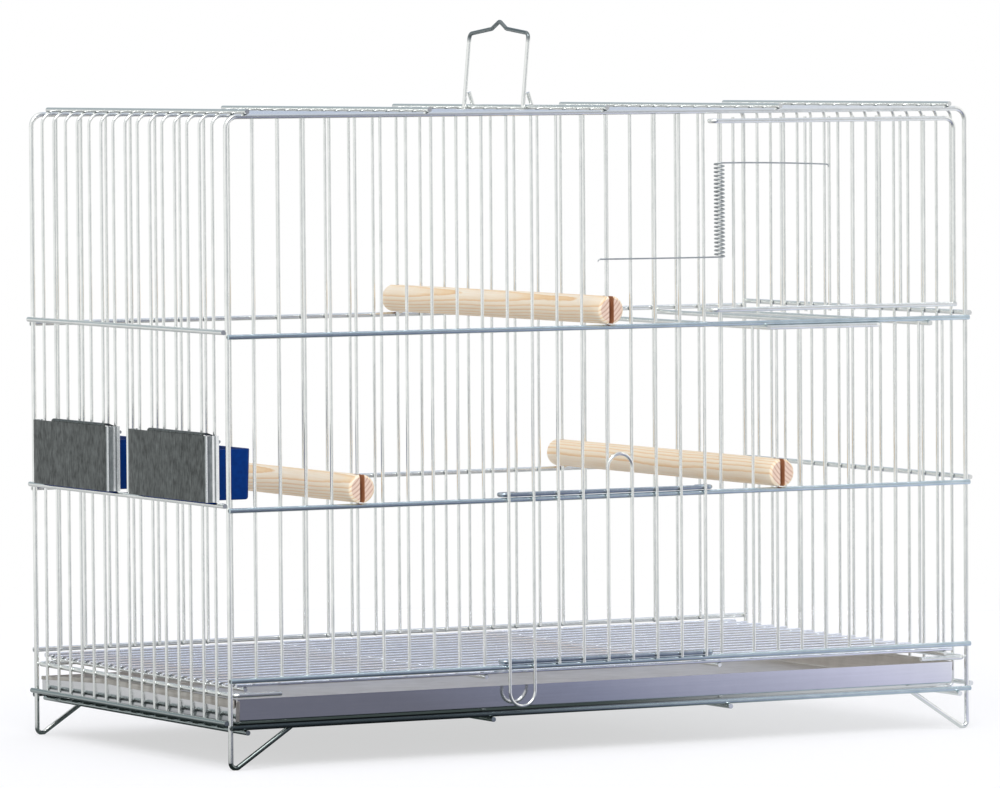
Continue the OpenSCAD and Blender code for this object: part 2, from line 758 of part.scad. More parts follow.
module grate_cross_wires() {
    reach = grate_edge_y + grate_edge_d / 2;
    color(zinc) in_frame() translate([-grate_shift, 0, 0]) for (k = [-3 : 2 : 3])
        wire_y(k / 3 * (half_w - grate_cross_inset), -reach, reach, grate_cross_z, grate_edge_d / 2);
}

// ---- Perches ----

module perch(i, rail_z) {
    slot_depth = perch_overhang + perch_slot_past;
    profile = [[0, 0], [perch_d / 2 - perch_chamfer, 0], [perch_d / 2, perch_chamfer],
               [perch_d / 2, 2 * perch_half - perch_chamfer],
               [perch_d / 2 - perch_chamfer, 2 * perch_half], [0, 2 * perch_half]];
    color(pine) in_frame() translate([front_x(i), 0, rail_z + perch_lift]) difference() {
        translate([0, -perch_half, 0]) rotate([-90, 0, 0]) rotate_extrude($fn = 72) polygon(profile);
        for (end = [0, 1]) mirror([0, end, 0])
            translate([-perch_slot / 2, -perch_half - 1, -perch_d])
                cube([perch_slot, slot_depth + 1, 2 * perch_d]);
    }
}

// ---- Feeders ----

// A rounded rectangle centred on the origin
module round_plate(w, d, r) {
    square([w - 2 * r, d], center = true);
    square([w, d - 2 * r], center = true);
    for (sx = [-1, 1], sy = [-1, 1]) translate([sx * (w / 2 - r), sy * (d / 2 - r)]) circle(r = r);
}

// The face with both side flanges folded back to the bars, and the tab folded back on top
module feeder_plate(n) {
    flange = plate_stand - bar_r - run_gap;
    color(galvanised) in_frame() translate([-plate_face_x, feeder_ys[n] - plate_shift, plate_z]) {
        linear_extrude(height = plate_h) intersection() {
            difference() {
                translate([flange, 0]) round_plate(2 * flange, plate_w, plate_bend);
                translate([flange, 0]) round_plate(2 * (flange - plate_t), plate_w - 2 * plate_t,
                                                   plate_bend - plate_t);
            }
            translate([0, -plate_w / 2]) square([flange, plate_w]);
        }
        translate([plate_t - weld, -tab_w / 2 - tab_shift, plate_h - plate_t])
            cube([flange - plate_t + weld, tab_w, plate_t]);
    }
}

module feeder_tub(n) {
    depth = plate_face_x - plate_t - side_bar_x + tub_reach;
    color(tub_blue) in_frame()
        translate([-side_bar_x + tub_reach - depth / 2, feeder_ys[n], tub_z]) difference() {
            linear_extrude(height = tub_h) round_plate(depth, tub_w, tub_corner);
            translate([0, 0, tub_wall]) linear_extrude(height = tub_h)
                round_plate(depth - 2 * tub_wall, tub_w - 2 * tub_wall, tub_corner - tub_wall);
        }
}

post(-1, -1);  // front_left_post
post(1, -1);  // front_right_post
post(-1, 1);  // rear_left_post
post(1, 1);  // rear_right_post
foot(-1, -1);  // front_left_foot
foot(1, -1);  // front_right_foot
foot(-1, 1);  // rear_left_foot
foot(1, 1);  // rear_right_foot
top_wire(-1);  // front_top_wire
top_wire(1);  // rear_top_wire
top_corner_bends();
left_side_bars();
right_side_bars();
roof_bars();
floor_bars();
hoop_shoulders();
hoop_floor_bends();
roof_cross_wires();
floor_cross_wires();
side_rails(-1);  // left_side_rails
side_rails(1);  // right_side_rails
panel_rails(-1);  // front_rails
panel_rails(1);  // rear_rails
front_left_bars();
front_middle_bars();
front_right_bars();
door_guide_bars();
hinge_bar();
rear_bars();
grate_guide(-1);  // left_grate_guide
grate_guide(1);  // right_grate_guide
nest_rest_wires();
feeder_headers();
sliding_door_rails();
sliding_door_eyes();
sliding_door_bars();
lift_hairpin();
lock_hairpin();
nest_door_frame();
nest_door_sill();
nest_door_eyes();
nest_door_bars();
door_spring();
carrying_handle();
droppings_tray();
grate_long_wires();
grate_cross_wires();
perch(upper_perch_no, upper_rail_z);  // upper_perch
perch(left_perch_no, lower_rail_z);  // left_perch
perch(right_perch_no, lower_rail_z);  // right_perch
feeder_plate(0);  // front_feeder_plate
feeder_tub(0);  // front_feeder_tub
feeder_plate(1);  // rear_feeder_plate
feeder_tub(1);  // rear_feeder_tub
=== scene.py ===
import math

import bmesh
import bpy
from mathutils import Matrix, Vector


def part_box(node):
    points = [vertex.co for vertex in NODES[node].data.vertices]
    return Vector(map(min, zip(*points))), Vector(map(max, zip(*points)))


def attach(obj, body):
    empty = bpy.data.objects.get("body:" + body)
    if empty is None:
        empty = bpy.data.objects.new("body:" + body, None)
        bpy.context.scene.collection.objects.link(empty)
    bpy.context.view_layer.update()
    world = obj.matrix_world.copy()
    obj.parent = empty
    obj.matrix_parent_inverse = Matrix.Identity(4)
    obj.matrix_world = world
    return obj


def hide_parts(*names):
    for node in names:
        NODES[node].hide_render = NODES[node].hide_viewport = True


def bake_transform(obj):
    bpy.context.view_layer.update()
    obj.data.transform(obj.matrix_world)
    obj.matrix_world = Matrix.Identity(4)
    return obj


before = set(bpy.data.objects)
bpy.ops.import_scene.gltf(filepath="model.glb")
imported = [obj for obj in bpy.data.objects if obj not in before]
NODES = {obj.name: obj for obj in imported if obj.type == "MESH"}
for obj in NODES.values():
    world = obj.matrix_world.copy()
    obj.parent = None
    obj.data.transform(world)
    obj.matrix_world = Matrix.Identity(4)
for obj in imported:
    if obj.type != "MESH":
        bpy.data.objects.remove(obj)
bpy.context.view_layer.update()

MM = 0.001
X, Y, Z = range(3)
# Edges at which a sheet or a moulding turns by more than this, in radians, are its folds
FOLD_ANGLE = 1.0


# ---- Materials ----

def srgb(code, alpha=1.0):
    """A '#rrggbb' colour as the linear values that Blender's sockets take."""
    parts = [int(code[k:k + 2], 16) / 255 for k in (1, 3, 5)]
    return [c / 12.92 if c <= 0.04045 else ((c + 0.055) / 1.055) ** 2.4 for c in parts] + [alpha]


def add(tree, kind, sockets=None, **settings):
    """Adds a shader node. A socket's value is a number, a colour, or another node's output to link."""
    node = tree.nodes.new("ShaderNode" + kind)
    for name, value in settings.items():
        setattr(node, name, value)
    for name, value in (sockets or {}).items():
        if isinstance(value, bpy.types.NodeSocket):
            tree.links.new(value, node.inputs[name])
        else:
            node.inputs[name].default_value = value
    return node


def new_material(name):
    """An empty material and its node tree, with the principled shader joined to the output."""
    material = bpy.data.materials.new(name)
    material.use_nodes = True
    tree = material.node_tree
    tree.nodes.clear()
    skin = add(tree, "BsdfPrincipled")
    add(tree, "OutputMaterial", {"Surface": skin.outputs["BSDF"]})
    return material, tree, skin


def ramp_up(tree, value, start, end):
    """Rises smoothly from 0 at start to 1 at end."""
    return add(tree, "MapRange", {"Value": value, "From Min": start, "From Max": end},
               interpolation_type="SMOOTHSTEP").outputs["Result"]


def mixed_colour(tree, factor, under, over, blend="MIX"):
    """One colour over another; each is a colour or another node's output."""
    mix = add(tree, "Mix", {"Factor": factor}, data_type="RGBA", blend_type=blend)
    for socket, value in ((mix.inputs[6], under), (mix.inputs[7], over)):
        if isinstance(value, bpy.types.NodeSocket):
            tree.links.new(value, socket)
        else:
            socket.default_value = value
    return mix.outputs[2]


def colour_ramp(tree, value, *stops):
    """A value's colour, blended between stops; a stop is a position and a '#rrggbb' colour."""
    ramp = add(tree, "ValToRGB", {"Fac": value})
    elements = ramp.color_ramp.elements
    for element, (position, code) in zip(elements, (stops[0], stops[-1])):
        element.position, element.color = position, srgb(code)
    for position, code in stops[1:-1]:
        elements.new(position).color = srgb(code)
    return ramp.outputs["Color"]


def times(tree, *factors):
    """The product of several values."""
    product = factors[0]
    for factor in factors[1:]:
        product = add(tree, "Math", {0: product, 1: factor}, operation="MULTIPLY").outputs["Value"]
    return product


def larger(tree, one, other):
    """The larger of two values."""
    return add(tree, "Math", {0: one, 1: other}, operation="MAXIMUM").outputs["Value"]


def components(tree, vector, unsigned=False):
    """A vector's X, Y and Z; unsigned drops their signs."""
    if unsigned:
        vector = add(tree, "VectorMath", {0: vector}, operation="ABSOLUTE").outputs["Vector"]
    parts = add(tree, "SeparateXYZ", {"Vector": vector}).outputs
    return [parts[axis] for axis in "XYZ"]


def seen_in_metal(tree):
    """1 on rays that a shiny surface has thrown back or let through, otherwise 0."""
    path = add(tree, "LightPath").outputs
    return larger(tree, path["Is Glossy Ray"], path["Is Transmission Ray"])


def wear(tree, skin, pattern, light, dark, rough, bump_mm):
    """Lets one pattern drive a finish's colour, roughness and bump: light and smooth where it is high."""
    tree.links.new(colour_ramp(tree, pattern, (0.3, dark), (0.7, light)), skin.inputs["Base Color"])
    polish = add(tree, "MapRange", {"Value": pattern, "From Min": 0.25, "From Max": 0.75,
                                    "To Min": rough[1], "To Max": rough[0]})
    tree.links.new(polish.outputs["Result"], skin.inputs["Roughness"])
    bump = add(tree, "Bump", {"Height": pattern, "Distance": bump_mm * MM, "Strength": 0.5})
    tree.links.new(bump.outputs["Normal"], skin.inputs["Normal"])


def stretched_noise(tree, stretch, size_mm, detail=3.0):
    """Noise of a given grain size, drawn out along the axes where stretch is above 1."""
    place = add(tree, "TexCoord").outputs["Object"]
    squeeze = add(tree, "Mapping", {"Vector": place, "Scale": [1 / s for s in stretch]})
    return add(tree, "TexNoise", {"Vector": squeeze.outputs["Vector"], "Scale": 1 / (size_mm * MM),
                                  "Detail": detail, "Roughness": 0.55}).outputs["Fac"]


def zinc_wire(name, stretch, light="#f8f9f7", dark="#e6e9e7", rough=(0.14, 0.26), darkened_to=None,
              from_z=38, to_z=28, from_x=140, to_x=-120):
    """Zinc-plated drawn wire: bright, with long die lines and a soft bloom in the plating. A darkened wire turns
    to that colour from one height and one place across to another, in mm.
    Real die lines are under 0.1 mm apart; here they are 0.8 mm, so that they show."""
    material, tree, skin = new_material(name)
    skin.inputs["Metallic"].default_value = 1.0
    die_lines = stretched_noise(tree, stretch, 0.8)
    bloom = stretched_noise(tree, (1, 1, 1), 9.0, 2.0)
    mixed = add(tree, "Math", {0: die_lines, 1: bloom}, operation="ADD")
    wear(tree, skin, times(tree, mixed.outputs["Value"], 0.5), light, dark, rough, 0.03)
    # Where a colour to darken to is given, it is painted over the plating by height and by place across; on the
    # lowest wires it is painted shade
    if darkened_to:
        place = components(tree, add(tree, "TexCoord").outputs["Object"])
        darkening = times(tree, ramp_up(tree, place[Z], from_z * MM, to_z * MM),
                     ramp_up(tree, place[X], from_x * MM, to_x * MM))
        plating = skin.inputs["Base Color"].links[0].from_socket
        tree.links.new(mixed_colour(tree, darkening, plating, srgb(darkened_to)), skin.inputs["Base Color"])
    return material


# How far the die lines run along a wire, by the way that it lies
ACROSS, DEEP, UPRIGHT, BENT = (14, 1, 1), (1, 14, 1), (1, 1, 14), (1, 1, 1)

# The lowest wires are painted darker towards the floor and the left: painted shade, where the cage's bottom lies
# in shade
wire_x = zinc_wire("zinc_plated_wire_across", ACROSS, darkened_to="#4c5556")
wire_y = zinc_wire("zinc_plated_wire_deep", DEEP, darkened_to="#a6afae")
wire_z = zinc_wire("zinc_plated_wire_upright", UPRIGHT)
wire_bent = zinc_wire("zinc_plated_wire_bent", BENT, darkened_to="#7d8684")
# The front's rails and the sliding door's are painted darker and bluer than the other wires: a painted slate
# reflection on the front's rails, and painted shade on the door's rails behind the bars; the grate has a painted
# lavender tinge of reflection alone
wire_front = zinc_wire("zinc_wire_across_painted_with_slate_reflection", ACROSS, light="#d6e3e8", dark="#bacad1", darkened_to="#4c5556")
wire_door = zinc_wire("zinc_wire_across_painted_with_shade", ACROSS, light="#bcc5ce", dark="#95a1ac")
wire_grate = zinc_wire("zinc_wire_across_painted_with_lavender_reflection", ACROSS, light="#fbfcff", dark="#eceffa")
# The handle's bar is darker than its legs
handle_wire = zinc_wire("zinc_plated_wire_darker_on_its_bar", BENT, darkened_to="#7e8688",
                        from_z=402, to_z=406, from_x=400, to_x=300)
# Greyer and less smooth than plating: steel squeezed out hot, its dark grey also painted shade in the crevices
# where the wires cross; and hard-drawn spring steel
weld_metal = zinc_wire("weld_metal_painted_darker_for_crevice_shade", BENT, light="#a0a6a8", dark="#6f7678", rough=(0.3, 0.45))
spring_wire = zinc_wire("hard_drawn_spring_wire", BENT, light="#c6cacc", dark="#9ba1a3", rough=(0.25, 0.4))


def sheet_metal(name, stretch, grain_mm, light, dark, rough):
    """Cold-rolled sheet with a zinc coat: the rolling leaves streaks along the strip, the coat a soft mottling."""
    material, tree, skin = new_material(name)
    skin.inputs["Metallic"].default_value = 1.0
    streaks = stretched_noise(tree, stretch, grain_mm, 5.0)
    mottle = stretched_noise(tree, (1, 1, 1), grain_mm * 7, 3.0)
    both = add(tree, "Mix", {"Factor": 0.4, "A": streaks, "B": mottle}, data_type="FLOAT")
    wear(tree, skin, both.outputs["Result"], light, dark, rough, 0.05)
    return material


# The tray's outside mirrors the room in long bands; its inside and hems are scratched dull and a little brown
tray_sheet = sheet_metal("rolled_zinc_coated_tray_sheet", (40, 40, 1), 1.4, "#f1f1f2", "#e8e8ea", (0.10, 0.15))
tray_inside = sheet_metal("dull_inside_of_tray", (40, 40, 1), 1.4, "#d0cbc6", "#b6b1ab", (0.30, 0.42))
hem_sheet = sheet_metal("dull_folded_tray_hem", (1, 30, 1), 1.4, "#d2cfca", "#9b958d", (0.30, 0.45))
# The feeders' plates are dark, with upright streaks; their flanges are painted paler, a painted reflection, and
# the bends of their folds carry a painted highlight
plate_sheet = sheet_metal("streaked_galvanised_sheet", (1, 1, 8), 0.7, "#717776", "#101413", (0.24, 0.42))
flange_sheet = sheet_metal("galvanised_flange_with_painted_reflection", (1, 1, 8), 0.7, "#b4babb", "#7b8181", (0.24, 0.42))
fold_highlight_sheet = sheet_metal("galvanised_sheet_with_painted_fold_highlight", (1, 1, 9), 0.9, "#fafbfb", "#e9ecee", (0.20, 0.30))


def pine(name, heart):
    """Turned pine dowel, raw: cream early wood between thin tan late-wood lines 2 mm apart. They run nearly along
    the stick, because the tree's heart lies off to one side of it, and wander a little."""
    material, tree, skin = new_material("turned_pine_" + name)
    place = add(tree, "TexCoord").outputs["Object"]
    turned = add(tree, "Mapping", {"Vector": place, "Location": heart, "Rotation": (0.014, 0.0, 0.010)})
    wander = add(tree, "TexNoise", {"Vector": turned.outputs["Vector"], "Scale": 14.0, "Detail": 1.0})
    drift = add(tree, "VectorMath", {0: wander.outputs["Color"], 1: (0.003, 0.0, 0.003)}, operation="MULTIPLY")
    moved = add(tree, "VectorMath", {0: turned.outputs["Vector"], 1: drift.outputs["Vector"]}, operation="ADD")
    rings = add(tree, "TexWave", {"Vector": moved.outputs["Vector"], "Scale": 150.0, "Distortion": 0.5,
                                  "Detail": 1.5, "Detail Scale": 1.2},
                wave_type="RINGS", rings_direction="Y", wave_profile="SAW")
    wood = colour_ramp(tree, rings.outputs["Fac"], (0.0, "#fff3e0"), (0.55, "#fdecd3"), (0.84, "#f5d5a9"),
                       (0.93, "#efc796"), (1.0, "#fef0da"))
    fibres = stretched_noise(tree, (1, 40, 1), 0.6, 4.0)
    shade = colour_ramp(tree, fibres, (0.3, "#f6e6cd"), (0.6, "#ffffff"))
    side_grain = mixed_colour(tree, 0.4, wood, shade, "MULTIPLY")
    # Sawn end grain drinks in the light: pinker and darker than the turned side, with the rings cut across; the
    # slot's walls are painted brown, a painted shade in the narrow slot
    facing = components(tree, add(tree, "NewGeometry").outputs["Normal"], unsigned=True)
    across, along = (add(tree, "MapRange", {"Value": facing[axis], "From Min": 0.8, "From Max": 0.95})
                     .outputs["Result"] for axis in (X, Y))
    cut_rings = ramp_up(tree, rings.outputs["Fac"], 0.55, 0.95)
    end_grain = mixed_colour(tree, cut_rings, srgb("#e8cdbb"), srgb("#c39a84"))
    sawn = mixed_colour(tree, along, side_grain, end_grain)
    low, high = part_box(name)
    spot = add(tree, "VectorMath", {0: place, 1: (low + high) / 2}, operation="SUBTRACT")
    from_middle = components(tree, spot.outputs["Vector"], unsigned=True)
    # The slot's side walls lie 1.5 mm from the middle, and its end walls 126 mm
    slot_wall = times(tree, across, ramp_up(tree, from_middle[X], 2.4 * MM, 1.8 * MM))
    slot_end = times(tree, along, ramp_up(tree, from_middle[Y], 132 * MM, 129 * MM))
    painted_slot_shade = larger(tree, slot_wall, slot_end)
    # Painted shade: the slot's walls turn brown
    tree.links.new(mixed_colour(tree, painted_slot_shade, sawn, srgb("#b87c54")), skin.inputs["Base Color"])
    skin.inputs["Roughness"].default_value = 0.6
    bump = add(tree, "Bump", {"Height": fibres, "Distance": 0.15 * MM, "Strength": 0.35})
    tree.links.new(bump.outputs["Normal"], skin.inputs["Normal"])
    return material


def moulded_plastic():
    """Injection-moulded polystyrene: a deep, even blue with the mould's faint orange peel. Handling has dulled its
    gloss."""
    material, tree, skin = new_material("blue_moulded_polystyrene")
    peel = stretched_noise(tree, (1, 1, 1), 2.2, 2.0)
    wear(tree, skin, peel, "#01357f", "#012e72", (0.3, 0.42), 0.04)
    skin.inputs["Specular IOR Level"].default_value = 0.08
    return material


blue_plastic = moulded_plastic()


def finish(nodes, material):
    """Gives CAD pieces their finish."""
    for name in nodes:
        NODES[name].data.materials.clear()
        NODES[name].data.materials.append(material)


finish(["front_left_post", "front_right_post", "rear_left_post", "rear_right_post", "left_side_bars",
        "right_side_bars", "front_left_bars", "front_middle_bars", "front_right_bars", "door_guide_bars",
        "hinge_bar", "rear_bars", "sliding_door_bars", "lift_hairpin", "lock_hairpin", "nest_door_bars",
        "rear_left_foot", "rear_right_foot"], wire_z)
finish(["front_top_wire", "rear_top_wire", "roof_bars", "floor_bars", "rear_rails", "nest_door_sill",
        "nest_door_eyes"], wire_x)
finish(["front_rails"], wire_front)
finish(["grate_long_wires"], wire_grate)
finish(["sliding_door_rails", "sliding_door_eyes"], wire_door)
finish(["roof_cross_wires", "floor_cross_wires", "left_side_rails", "right_side_rails", "nest_rest_wires",
        "feeder_headers", "grate_cross_wires", "left_grate_guide", "right_grate_guide"], wire_y)
finish(["front_left_foot", "front_right_foot", "top_corner_bends", "hoop_shoulders", "hoop_floor_bends",
        "nest_door_frame"], wire_bent)
finish(["carrying_handle"], handle_wire)
# The tree's heart lies 30 to 35 mm from the middle of each perch, on another side of each
for name, heart in {"upper_perch": (0.020, 0.0, -0.275), "left_perch": (0.180, 0.0, -0.180),
                    "right_perch": (-0.138, 0.0, -0.174)}.items():
    finish([name], pine(name, heart))


# ---- Making pieces ----

def in_scene(name, data):
    """Puts a new object in the scene."""
    made = bpy.data.objects.new(name, data)
    bpy.context.scene.collection.objects.link(made)
    return made


def piece(name, bm, material, body, replaced=None):
    """Turns a bmesh into a finished piece that moves with a body. Its material may be several, one per index."""
    mesh = bpy.data.meshes.new(name)
    bm.to_mesh(mesh)
    bm.free()
    for one in (material if isinstance(material, tuple) else (material,)):
        mesh.materials.append(one)
    for face in mesh.polygons:
        face.use_smooth = True
    mesh.set_sharp_from_angle(angle=math.radians(38))
    made = in_scene(name, mesh)
    if body:
        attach(made, body)
    if replaced:
        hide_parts(replaced)
    return made


def pull_out(bm, edges, move):
    """Extrudes open edges and moves the new ones; returns them."""
    grown = bmesh.ops.extrude_edge_only(bm, edges=edges)["geom"]
    bmesh.ops.translate(bm, verts=[g for g in grown if isinstance(g, bmesh.types.BMVert)], vec=move)
    return [g for g in grown if isinstance(g, bmesh.types.BMEdge)]


def thicken(bm, thickness):
    """Gives an open sheet its thickness."""
    bmesh.ops.recalc_face_normals(bm, faces=bm.faces)
    bmesh.ops.solidify(bm, geom=bm.faces[:], thickness=thickness)


def folds(bm):
    """The edges at which a sheet turns sharply."""
    return [e for e in bm.edges if len(e.link_faces) == 2 and e.calc_face_angle(0) > FOLD_ANGLE]


def round_off(bm, edges, radius, segments):
    """Rounds edges to a radius."""
    bmesh.ops.bevel(bm, geom=edges, offset=radius, segments=segments, profile=0.5, affect="EDGES", material=-1,
                    clamp_overlap=True)


# ---- Spot welds ----

def wires(nodes):
    """The straight wires of CAD pieces: the middle and half the size of each one's box."""
    found = []
    for name in nodes:
        bm = bmesh.new()
        bm.from_mesh(NODES[name].data)
        bmesh.ops.remove_doubles(bm, verts=bm.verts, dist=0.01 * MM)
        sorted_out = set()
        for vert in bm.verts:
            if vert in sorted_out:
                continue
            wire, border = set(), {vert}
            while border:
                wire |= border
                border = {e.other_vert(v) for v in border for e in v.link_edges} - wire
            sorted_out |= wire
            low, high = (Vector([pick(v.co[axis] for v in wire) for axis in (X, Y, Z)]) for pick in (min, max))
            found.append(((low + high) / 2, (high - low) / 2))
        bm.free()
    return found


def spot_welds(name, body, joins):
    """Metal squeezed out where crossing wires are welded: a small flat bead at each place where two of them touch.
    A join is some wires, the axis that they lie along, the wires that cross them, and the axis of those."""
    slack, bead_rise = 0.1 * MM, 0.5 * MM
    bm = bmesh.new()
    for nodes, along, others, across in joins:
        third = X + Y + Z - along - across
        for one, half in wires(nodes):
            for other, other_half in wires(others):
                touch = half[third] + other_half[third]
                if (abs(other[along] - one[along]) > half[along]
                        or abs(one[across] - other[across]) > other_half[across]
                        or abs(one[third] - other[third]) > touch + slack):
                    continue
                spot = Vector((0, 0, 0))
                spot[along], spot[across] = other[along], one[across]
                spot[third] = (one[third] * other_half[third] + other[third] * half[third]) / touch
                # No two beads are quite alike: 1.3 to 1.6 mm from the middle to the edge
                bead_r = (1.45 + 0.15 * math.sin(1900 * (spot.x + spot.y + spot.z))) * MM
                size = Vector((1, 1, 1)) * bead_r
                size[third] = bead_rise
                bmesh.ops.create_uvsphere(bm, u_segments=8, v_segments=4, radius=1,
                                          matrix=Matrix.Translation(spot) @ Matrix.Diagonal(size.to_4d()))
    piece(name, bm, weld_metal, body, None)


spot_welds("welds_of_cage_frame", "cage", [
    (["front_rails"], X, ["front_left_post", "front_right_post", "front_left_bars", "front_middle_bars",
                          "front_right_bars"], Z),
    (["rear_rails"], X, ["rear_left_post", "rear_right_post", "rear_bars"], Z),
    (["left_side_rails"], Y, ["left_side_bars"], Z),
    (["right_side_rails"], Y, ["right_side_bars"], Z),
    (["roof_cross_wires"], Y, ["roof_bars", "front_top_wire", "rear_top_wire"], X),
    (["floor_cross_wires"], Y, ["floor_bars"], X)])
spot_welds("welds_of_sliding_door", "sliding_door",
           [(["sliding_door_rails"], X, ["sliding_door_bars"], Z)])
spot_welds("welds_of_nest_door", "nest_door", [(["nest_door_sill"], X, ["nest_door_bars"], Z)])
spot_welds("welds_of_grate", "grate", [(["grate_cross_wires"], Y, ["grate_long_wires"], X)])


# ---- Torsion spring on the hinge bar ----

def nest_door_spring():
    """One wire: an arm on the front's bars, 24 turns round the hinge bar, and an arm on the door; both tips are
    hooked."""
    low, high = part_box("door_spring")
    hinge_low, hinge_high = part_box("hinge_bar")
    axis = (hinge_low + hinge_high) / 2
    wire_r, coil_r, turns, steps = 0.45 * MM, 2.8 * MM, 24, 20
    # The coil has ridden up the bar a little
    ridden = 2.3 * MM
    coil_bottom, coil_top = low.z + wire_r + ridden, high.z - wire_r + ridden
    pitch = (coil_top - coil_bottom) / turns
    start = Vector((axis.x, axis.y - coil_r, coil_bottom))
    bm = bmesh.new()
    ring = bmesh.ops.create_circle(bm, segments=10, radius=wire_r, matrix=Matrix.Translation(start)
                                   @ Matrix.Rotation(math.radians(90), 4, "Y"))["verts"]
    first = list(bm.edges)
    last = bmesh.ops.spin(bm, geom=ring + first, cent=axis, axis=(0, 0, 1), dvec=(0, 0, pitch / steps),
                          angle=turns * math.tau, steps=turns * steps, use_duplicate=False)["geom_last"]
    last = [g for g in last if isinstance(g, bmesh.types.BMEdge)]
    # An arm leaves the coil straight and bends slightly, up on the bars and down on the door; the hook at its tip
    # turns down and a little back
    stretches, hook_room, hook_mm = 12, 2 * MM, ((0.9, 0.15), (0.6, 0.4), (0.2, 0.7))
    for edges, way, reach, bend_mm in ((first, -1, axis.x - low.x, 0.3), (last, 1, high.x - axis.x, -1.6)):
        for k in range(stretches):
            rise = bend_mm * MM * ((k + 1) ** 2 - k ** 2) / stretches ** 2
            edges = pull_out(bm, edges, (way * (reach - hook_room) / stretches, 0, rise))
        for out, down in hook_mm:
            edges = pull_out(bm, edges, (way * out * MM, down * MM * 0.2, -down * MM))
        bmesh.ops.edgeloop_fill(bm, edges=edges)
    bmesh.ops.recalc_face_normals(bm, faces=bm.faces)
    made = piece("nest_door_torsion_spring", bm, spring_wire, None)
    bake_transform(made)
    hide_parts("door_spring")


nest_door_spring()


# ---- Droppings tray ----

def folded_tray():
    """One sheet: flat floor and four walls turned up. The front and left walls lean out, the left one less and
    less towards the back; the side walls fall towards the lower back wall and are hemmed outwards."""
    low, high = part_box("droppings_tray")
    metal, hem_room, fall_length, fall = 0.5 * MM, 0.8 * MM, 90 * MM, 5 * MM
    middle = (low + high) / 2
    width, depth, height = high.x - low.x - 2 * hem_room, high.y - low.y, high.z - low.z
    bm = bmesh.new()
    bmesh.ops.create_grid(bm, x_segments=40, y_segments=24, size=0.5)
    bmesh.ops.scale(bm, verts=bm.verts, vec=(width, depth, 1))
    bmesh.ops.translate(bm, verts=bm.verts, vec=(middle.x, middle.y, low.z))
    rim = {v for e in pull_out(bm, [e for e in bm.edges if e.is_boundary], (0, 0, height)) for v in e.verts}

    def fallen(y):
        """How far a wall's top lies under its full height."""
        return fall * max(0.0, (y - high.y + fall_length) / fall_length)

    for vert in rim:
        vert.co.z -= fallen(vert.co.y)
    # Places in the tray run from -0.5 to 0.5, so that only its edges lie past this one
    at_wall = 0.49
    long_ripple, side_ripple, left_lean, front_lean = 0.15 * MM, 0.1 * MM, 1.7 * MM, 1.1 * MM
    for v in bm.verts:
        along_x, along_y = (v.co.x - middle.x) / width, (v.co.y - middle.y) / depth
        if v in rim:
            # The rim of so thin a sheet isn't dead straight
            if abs(along_y) > at_wall:
                v.co.y += long_ripple * math.sin(along_x * 11.0) * math.cos(along_x * math.pi)
            else:
                v.co.x += side_ripple * math.sin(along_y * 9.0) * math.cos(along_y * math.pi)
        else:
            if along_x < -at_wall:
                v.co.x += (0.5 - along_y) * left_lean
            if along_y < -at_wall:
                v.co.y += front_lean
    # The front is folded up round a bigger bar than the other walls
    front_bend, other_bends = 2.8 * MM, 1.2 * MM
    foot = [e for e in folds(bm) if all(v.co.y < low.y + 3 * MM and v.co.z < low.z + MM for v in e.verts)]
    round_off(bm, foot, front_bend, 6)
    round_off(bm, folds(bm), other_bends, 4)
    thicken(bm, metal)
    # The dull finish is on all that faces up or inwards
    for face in bm.faces:
        reach = face.calc_center_median() - middle
        inwards = face.normal.x * reach.x / width ** 2 + face.normal.y * reach.y / depth ** 2 < -0.1
        face.material_index = 1 if inwards or face.normal.z > 0.5 else 0
    piece("folded_droppings_tray", bm, (tray_sheet, tray_inside), "tray", "droppings_tray")

    # Each hem starts on its wall's inner face, goes over the top and hangs down outside
    bm = bmesh.new()
    hem_metal, hem_width, hem_bend, short_of_corner = 0.3 * MM, 1.3 * MM, 0.55 * MM, 1.2 * MM
    hem_foot_inside, hem_top, hem_foot_outside = high.z - 2 * MM, high.z + 0.1 * MM, high.z - 5.2 * MM
    steps, start_y, run = 20, low.y + short_of_corner, depth - 2 * short_of_corner
    for side in (-1, 1):
        inside = middle.x + side * (width / 2 - metal - 0.1 * MM)
        outside = inside + side * hem_width
        profile = [(inside, hem_foot_inside), (inside, hem_top), (outside, hem_top), (outside, hem_foot_outside)]
        start = [bm.verts.new((x, start_y, z)) for x, z in profile]
        edges = [bm.edges.new(pair) for pair in zip(start, start[1:])]
        for k in range(steps):
            y = start_y + run * k / steps
            edges = pull_out(bm, edges, (0, run / steps, fallen(y) - fallen(y + run / steps)))
    # The blank is cut straight, so that the hems get narrower towards the back
    narrowing = 3.2 * MM
    for v in bm.verts:
        if v.co.z < high.z - fallen(v.co.y) - 5 * MM:
            v.co.z += narrowing * (v.co.y - low.y) / depth
    round_off(bm, folds(bm), hem_bend, 3)
    thicken(bm, hem_metal)
    piece("side_hems_of_tray", bm, hem_sheet, "tray", None)

    # A tab of the left wall, folded round the front corner; it doesn't lie quite flat
    bm = bmesh.new()
    tab = bmesh.ops.create_cube(bm, size=1)["verts"]
    size, place = (2.2 * MM, metal, height - 2.6 * MM), (low.x + 1.8 * MM, low.y + 0.1 * MM, middle.z + 0.2 * MM)
    off_square = Matrix.Rotation(math.radians(-12), 3, "Z") @ Matrix.Rotation(math.radians(4), 3, "X")
    bmesh.ops.scale(bm, verts=tab, vec=size)
    bmesh.ops.rotate(bm, verts=tab, cent=(0, 0, 0), matrix=off_square)
    bmesh.ops.translate(bm, verts=tab, vec=place)
    round_off(bm, bm.edges[:], 0.15 * MM, 1)
    piece("corner_tab_of_tray", bm, hem_sheet, "tray", None)


folded_tray()


# ---- Feeders ----

